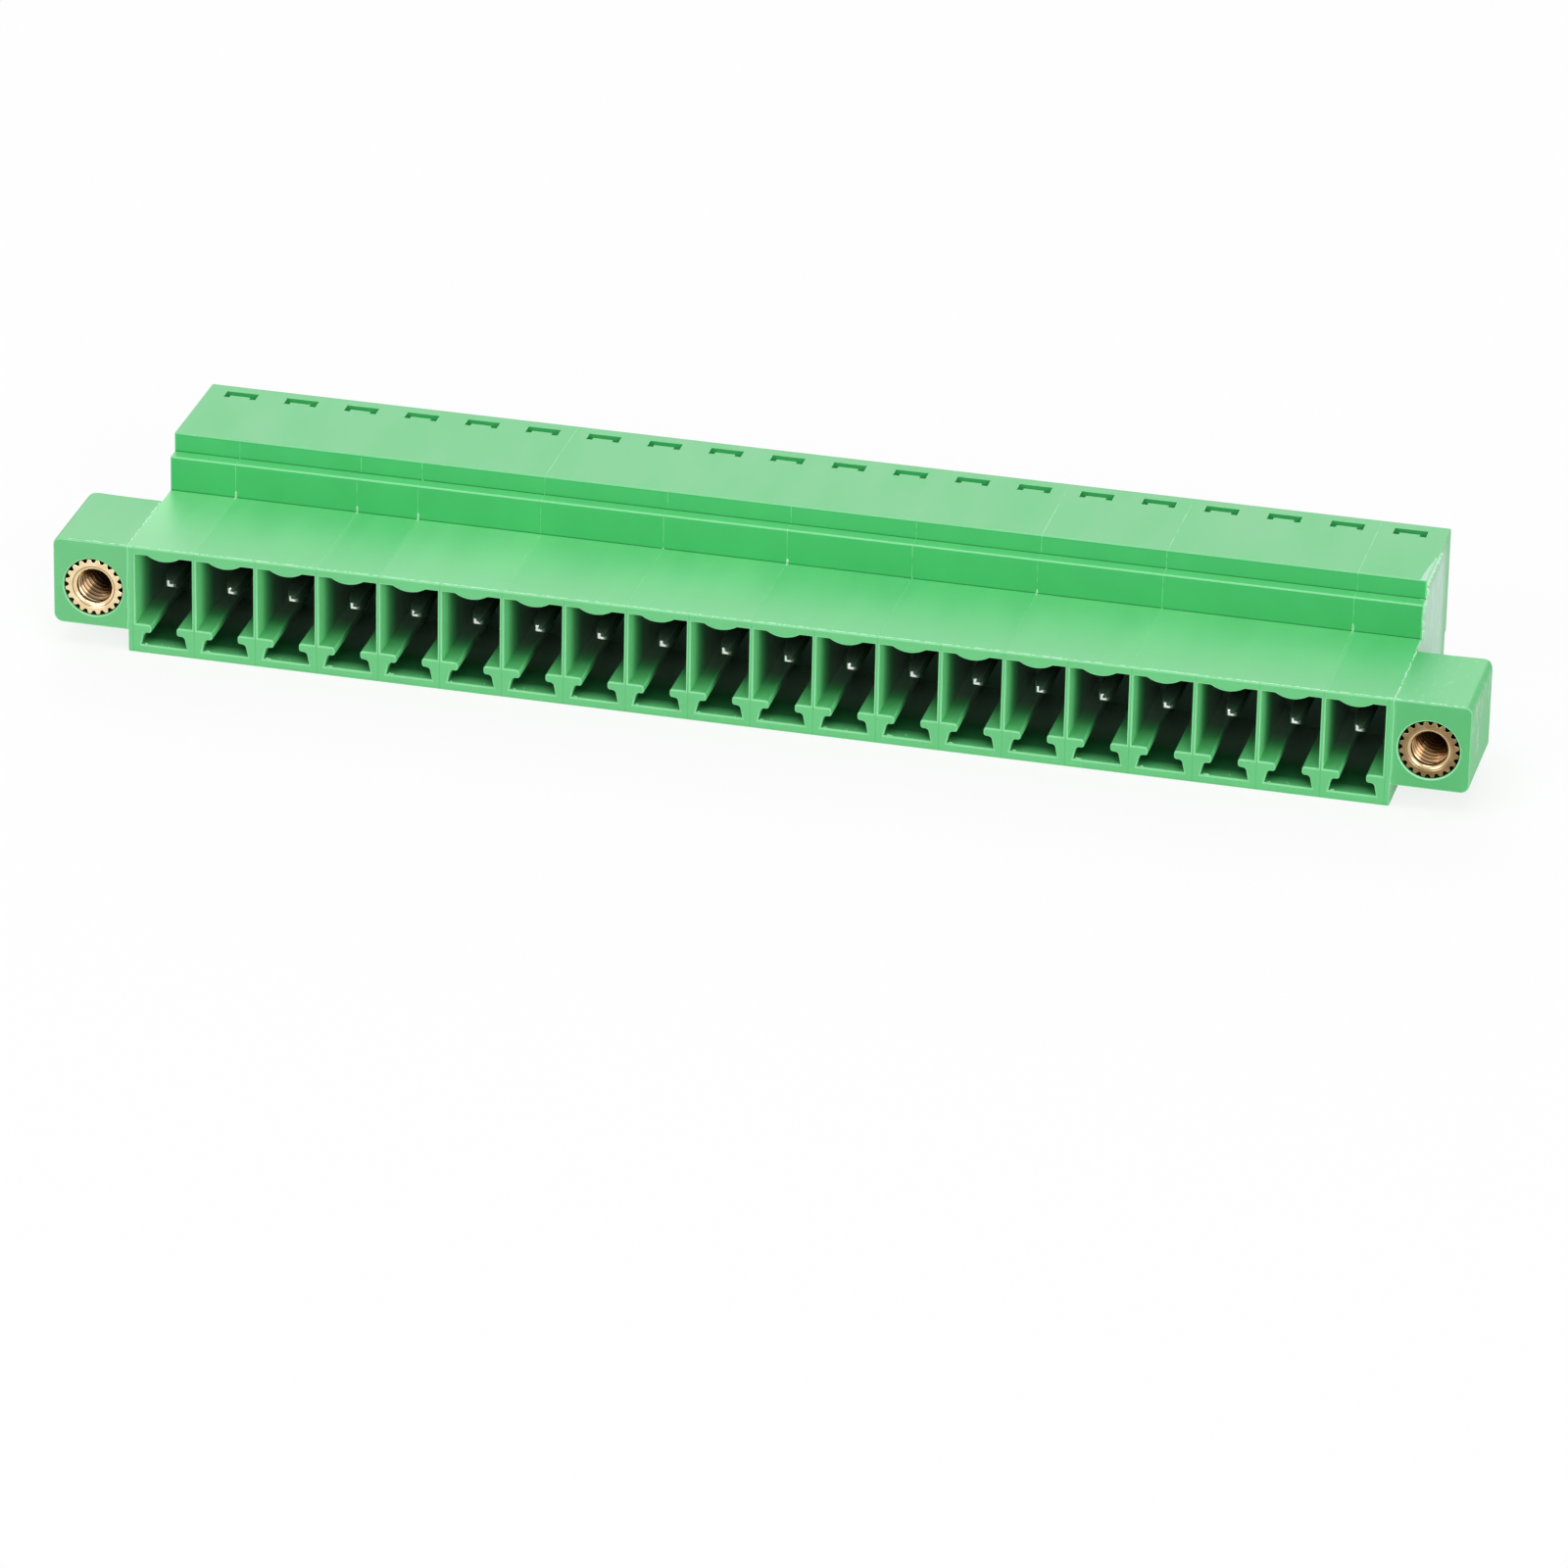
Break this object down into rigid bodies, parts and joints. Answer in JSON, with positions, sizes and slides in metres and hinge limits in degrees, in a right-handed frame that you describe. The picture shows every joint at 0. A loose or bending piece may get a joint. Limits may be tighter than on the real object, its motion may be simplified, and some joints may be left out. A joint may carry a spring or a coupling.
{
  "type": "pluggable terminal block",
  "caption": "Long green pluggable terminal block: a shroud of square pins in front, a row of screw clamps behind it and a flange with a knurled threaded insert at each end.",
  "frame": {"origin": "middle of the block, on the plane of the shroud's underside and the screw collars that it stands on", "axes": "+X along the row of poles, +Y from the mating face to the wire side, +Z away from the screw side"},
  "size_m": [0.0862, 0.0174, 0.0103],
  "materials": {
    "green_plastic": "satin moulded polyamide",
    "tin_plate": "bright tin plate",
    "brass": "turned and knurled",
    "zinc_plate": "zinc plate",
    "nickel_plate": "nickel plate"
  },
  "bodies": {
    "block": {"housing": "green_plastic", "pin_contacts": "tin_plate", "thread_insert_left": "brass", "thread_insert_right": "brass"},
    "clamp_screw_01": {"clamp_screw_01": "zinc_plate"},
    "clamp_cage_01": {"clamp_cage_01": "nickel_plate"},
    "clamp_screw_02": {"clamp_screw_02": "zinc_plate"},
    "clamp_cage_02": {"clamp_cage_02": "nickel_plate"},
    "clamp_screw_03": {"clamp_screw_03": "zinc_plate"},
    "clamp_cage_03": {"clamp_cage_03": "nickel_plate"},
    "clamp_screw_04": {"clamp_screw_04": "zinc_plate"},
    "clamp_cage_04": {"clamp_cage_04": "nickel_plate"},
    "clamp_screw_05": {"clamp_screw_05": "zinc_plate"},
    "clamp_cage_05": {"clamp_cage_05": "nickel_plate"},
    "clamp_screw_06": {"clamp_screw_06": "zinc_plate"},
    "clamp_cage_06": {"clamp_cage_06": "nickel_plate"},
    "clamp_screw_07": {"clamp_screw_07": "zinc_plate"},
    "clamp_cage_07": {"clamp_cage_07": "nickel_plate"},
    "clamp_screw_08": {"clamp_screw_08": "zinc_plate"},
    "clamp_cage_08": {"clamp_cage_08": "nickel_plate"},
    "clamp_screw_09": {"clamp_screw_09": "zinc_plate"},
    "clamp_cage_09": {"clamp_cage_09": "nickel_plate"},
    "clamp_screw_10": {"clamp_screw_10": "zinc_plate"},
    "clamp_cage_10": {"clamp_cage_10": "nickel_plate"},
    "clamp_screw_11": {"clamp_screw_11": "zinc_plate"},
    "clamp_cage_11": {"clamp_cage_11": "nickel_plate"},
    "clamp_screw_12": {"clamp_screw_12": "zinc_plate"},
    "clamp_cage_12": {"clamp_cage_12": "nickel_plate"},
    "clamp_screw_13": {"clamp_screw_13": "zinc_plate"},
    "clamp_cage_13": {"clamp_cage_13": "nickel_plate"},
    "clamp_screw_14": {"clamp_screw_14": "zinc_plate"},
    "clamp_cage_14": {"clamp_cage_14": "nickel_plate"},
    "clamp_screw_15": {"clamp_screw_15": "zinc_plate"},
    "clamp_cage_15": {"clamp_cage_15": "nickel_plate"},
    "clamp_screw_16": {"clamp_screw_16": "zinc_plate"},
    "clamp_cage_16": {"clamp_cage_16": "nickel_plate"},
    "clamp_screw_17": {"clamp_screw_17": "zinc_plate"},
    "clamp_cage_17": {"clamp_cage_17": "nickel_plate"},
    "clamp_screw_18": {"clamp_screw_18": "zinc_plate"},
    "clamp_cage_18": {"clamp_cage_18": "nickel_plate"},
    "clamp_screw_19": {"clamp_screw_19": "zinc_plate"},
    "clamp_cage_19": {"clamp_cage_19": "nickel_plate"},
    "clamp_screw_20": {"clamp_screw_20": "zinc_plate"},
    "clamp_cage_20": {"clamp_cage_20": "nickel_plate"}
  },
  "joints": [
    {"name": "clamp_screw_01_turn", "type": "hinge", "parent": "block", "child": "clamp_screw_01", "pos_m": [-0.03619, 0.00494, 0], "axis": [0, 0, 1], "range_deg": [0, 1440]},
    {"name": "clamp_cage_01_slide", "type": "slide", "parent": "block", "child": "clamp_cage_01", "axis": [0, 0, -1], "range_m": [0, 0.0016]},
    {"name": "clamp_screw_02_turn", "type": "hinge", "parent": "block", "child": "clamp_screw_02", "pos_m": [-0.03238, 0.00494, 0], "axis": [0, 0, 1], "range_deg": [0, 1440]},
    {"name": "clamp_cage_02_slide", "type": "slide", "parent": "block", "child": "clamp_cage_02", "axis": [0, 0, -1], "range_m": [0, 0.0016]},
    {"name": "clamp_screw_03_turn", "type": "hinge", "parent": "block", "child": "clamp_screw_03", "pos_m": [-0.02857, 0.00494, 0], "axis": [0, 0, 1], "range_deg": [0, 1440]},
    {"name": "clamp_cage_03_slide", "type": "slide", "parent": "block", "child": "clamp_cage_03", "axis": [0, 0, -1], "range_m": [0, 0.0016]},
    {"name": "clamp_screw_04_turn", "type": "hinge", "parent": "block", "child": "clamp_screw_04", "pos_m": [-0.02476, 0.00494, 0], "axis": [0, 0, 1], "range_deg": [0, 1440]},
    {"name": "clamp_cage_04_slide", "type": "slide", "parent": "block", "child": "clamp_cage_04", "axis": [0, 0, -1], "range_m": [0, 0.0016]},
    {"name": "clamp_screw_05_turn", "type": "hinge", "parent": "block", "child": "clamp_screw_05", "pos_m": [-0.02096, 0.00494, 0], "axis": [0, 0, 1], "range_deg": [0, 1440]},
    {"name": "clamp_cage_05_slide", "type": "slide", "parent": "block", "child": "clamp_cage_05", "axis": [0, 0, -1], "range_m": [0, 0.0016]},
    {"name": "clamp_screw_06_turn", "type": "hinge", "parent": "block", "child": "clamp_screw_06", "pos_m": [-0.01715, 0.00494, 0], "axis": [0, 0, 1], "range_deg": [0, 1440]},
    {"name": "clamp_cage_06_slide", "type": "slide", "parent": "block", "child": "clamp_cage_06", "axis": [0, 0, -1], "range_m": [0, 0.0016]},
    {"name": "clamp_screw_07_turn", "type": "hinge", "parent": "block", "child": "clamp_screw_07", "pos_m": [-0.01333, 0.00494, 0], "axis": [0, 0, 1], "range_deg": [0, 1440]},
    {"name": "clamp_cage_07_slide", "type": "slide", "parent": "block", "child": "clamp_cage_07", "axis": [0, 0, -1], "range_m": [0, 0.0016]},
    {"name": "clamp_screw_08_turn", "type": "hinge", "parent": "block", "child": "clamp_screw_08", "pos_m": [-0.00953, 0.00494, 0], "axis": [0, 0, 1], "range_deg": [0, 1440]},
    {"name": "clamp_cage_08_slide", "type": "slide", "parent": "block", "child": "clamp_cage_08", "axis": [0, 0, -1], "range_m": [0, 0.0016]},
    {"name": "clamp_screw_09_turn", "type": "hinge", "parent": "block", "child": "clamp_screw_09", "pos_m": [-0.00571, 0.00494, 0], "axis": [0, 0, 1], "range_deg": [0, 1440]},
    {"name": "clamp_cage_09_slide", "type": "slide", "parent": "block", "child": "clamp_cage_09", "axis": [0, 0, -1], "range_m": [0, 0.0016]},
    {"name": "clamp_screw_10_turn", "type": "hinge", "parent": "block", "child": "clamp_screw_10", "pos_m": [-0.00191, 0.00494, 0], "axis": [0, 0, 1], "range_deg": [0, 1440]},
    {"name": "clamp_cage_10_slide", "type": "slide", "parent": "block", "child": "clamp_cage_10", "axis": [0, 0, -1], "range_m": [0, 0.0016]},
    {"name": "clamp_screw_11_turn", "type": "hinge", "parent": "block", "child": "clamp_screw_11", "pos_m": [0.00191, 0.00494, 0], "axis": [0, 0, 1], "range_deg": [0, 1440]},
    {"name": "clamp_cage_11_slide", "type": "slide", "parent": "block", "child": "clamp_cage_11", "axis": [0, 0, -1], "range_m": [0, 0.0016]},
    {"name": "clamp_screw_12_turn", "type": "hinge", "parent": "block", "child": "clamp_screw_12", "pos_m": [0.00571, 0.00494, 0], "axis": [0, 0, 1], "range_deg": [0, 1440]},
    {"name": "clamp_cage_12_slide", "type": "slide", "parent": "block", "child": "clamp_cage_12", "axis": [0, 0, -1], "range_m": [0, 0.0016]},
    {"name": "clamp_screw_13_turn", "type": "hinge", "parent": "block", "child": "clamp_screw_13", "pos_m": [0.00953, 0.00494, 0], "axis": [0, 0, 1], "range_deg": [0, 1440]},
    {"name": "clamp_cage_13_slide", "type": "slide", "parent": "block", "child": "clamp_cage_13", "axis": [0, 0, -1], "range_m": [0, 0.0016]},
    {"name": "clamp_screw_14_turn", "type": "hinge", "parent": "block", "child": "clamp_screw_14", "pos_m": [0.01333, 0.00494, 0], "axis": [0, 0, 1], "range_deg": [0, 1440]},
    {"name": "clamp_cage_14_slide", "type": "slide", "parent": "block", "child": "clamp_cage_14", "axis": [0, 0, -1], "range_m": [0, 0.0016]},
    {"name": "clamp_screw_15_turn", "type": "hinge", "parent": "block", "child": "clamp_screw_15", "pos_m": [0.01715, 0.00494, 0], "axis": [0, 0, 1], "range_deg": [0, 1440]},
    {"name": "clamp_cage_15_slide", "type": "slide", "parent": "block", "child": "clamp_cage_15", "axis": [0, 0, -1], "range_m": [0, 0.0016]},
    {"name": "clamp_screw_16_turn", "type": "hinge", "parent": "block", "child": "clamp_screw_16", "pos_m": [0.02096, 0.00494, 0], "axis": [0, 0, 1], "range_deg": [0, 1440]},
    {"name": "clamp_cage_16_slide", "type": "slide", "parent": "block", "child": "clamp_cage_16", "axis": [0, 0, -1], "range_m": [0, 0.0016]},
    {"name": "clamp_screw_17_turn", "type": "hinge", "parent": "block", "child": "clamp_screw_17", "pos_m": [0.02476, 0.00494, 0], "axis": [0, 0, 1], "range_deg": [0, 1440]},
    {"name": "clamp_cage_17_slide", "type": "slide", "parent": "block", "child": "clamp_cage_17", "axis": [0, 0, -1], "range_m": [0, 0.0016]},
    {"name": "clamp_screw_18_turn", "type": "hinge", "parent": "block", "child": "clamp_screw_18", "pos_m": [0.02857, 0.00494, 0], "axis": [0, 0, 1], "range_deg": [0, 1440]},
    {"name": "clamp_cage_18_slide", "type": "slide", "parent": "block", "child": "clamp_cage_18", "axis": [0, 0, -1], "range_m": [0, 0.0016]},
    {"name": "clamp_screw_19_turn", "type": "hinge", "parent": "block", "child": "clamp_screw_19", "pos_m": [0.03238, 0.00494, 0], "axis": [0, 0, 1], "range_deg": [0, 1440]},
    {"name": "clamp_cage_19_slide", "type": "slide", "parent": "block", "child": "clamp_cage_19", "axis": [0, 0, -1], "range_m": [0, 0.0016]},
    {"name": "clamp_screw_20_turn", "type": "hinge", "parent": "block", "child": "clamp_screw_20", "pos_m": [0.03619, 0.00494, 0], "axis": [0, 0, 1], "range_deg": [0, 1440]},
    {"name": "clamp_cage_20_slide", "type": "slide", "parent": "block", "child": "clamp_cage_20", "axis": [0, 0, -1], "range_m": [0, 0.0016]}
  ],
  "couplings": [
    {"joint": "clamp_screw_01_turn", "follows": "clamp_cage_01_slide", "rad_per_m": 15708},
    {"joint": "clamp_screw_02_turn", "follows": "clamp_cage_02_slide", "rad_per_m": 15708},
    {"joint": "clamp_screw_03_turn", "follows": "clamp_cage_03_slide", "rad_per_m": 15708},
    {"joint": "clamp_screw_04_turn", "follows": "clamp_cage_04_slide", "rad_per_m": 15708},
    {"joint": "clamp_screw_05_turn", "follows": "clamp_cage_05_slide", "rad_per_m": 15708},
    {"joint": "clamp_screw_06_turn", "follows": "clamp_cage_06_slide", "rad_per_m": 15708},
    {"joint": "clamp_screw_07_turn", "follows": "clamp_cage_07_slide", "rad_per_m": 15708},
    {"joint": "clamp_screw_08_turn", "follows": "clamp_cage_08_slide", "rad_per_m": 15708},
    {"joint": "clamp_screw_09_turn", "follows": "clamp_cage_09_slide", "rad_per_m": 15708},
    {"joint": "clamp_screw_10_turn", "follows": "clamp_cage_10_slide", "rad_per_m": 15708},
    {"joint": "clamp_screw_11_turn", "follows": "clamp_cage_11_slide", "rad_per_m": 15708},
    {"joint": "clamp_screw_12_turn", "follows": "clamp_cage_12_slide", "rad_per_m": 15708},
    {"joint": "clamp_screw_13_turn", "follows": "clamp_cage_13_slide", "rad_per_m": 15708},
    {"joint": "clamp_screw_14_turn", "follows": "clamp_cage_14_slide", "rad_per_m": 15708},
    {"joint": "clamp_screw_15_turn", "follows": "clamp_cage_15_slide", "rad_per_m": 15708},
    {"joint": "clamp_screw_16_turn", "follows": "clamp_cage_16_slide", "rad_per_m": 15708},
    {"joint": "clamp_screw_17_turn", "follows": "clamp_cage_17_slide", "rad_per_m": 15708},
    {"joint": "clamp_screw_18_turn", "follows": "clamp_cage_18_slide", "rad_per_m": 15708},
    {"joint": "clamp_screw_19_turn", "follows": "clamp_cage_19_slide", "rad_per_m": 15708},
    {"joint": "clamp_screw_20_turn", "follows": "clamp_cage_20_slide", "rad_per_m": 15708}
  ]
}
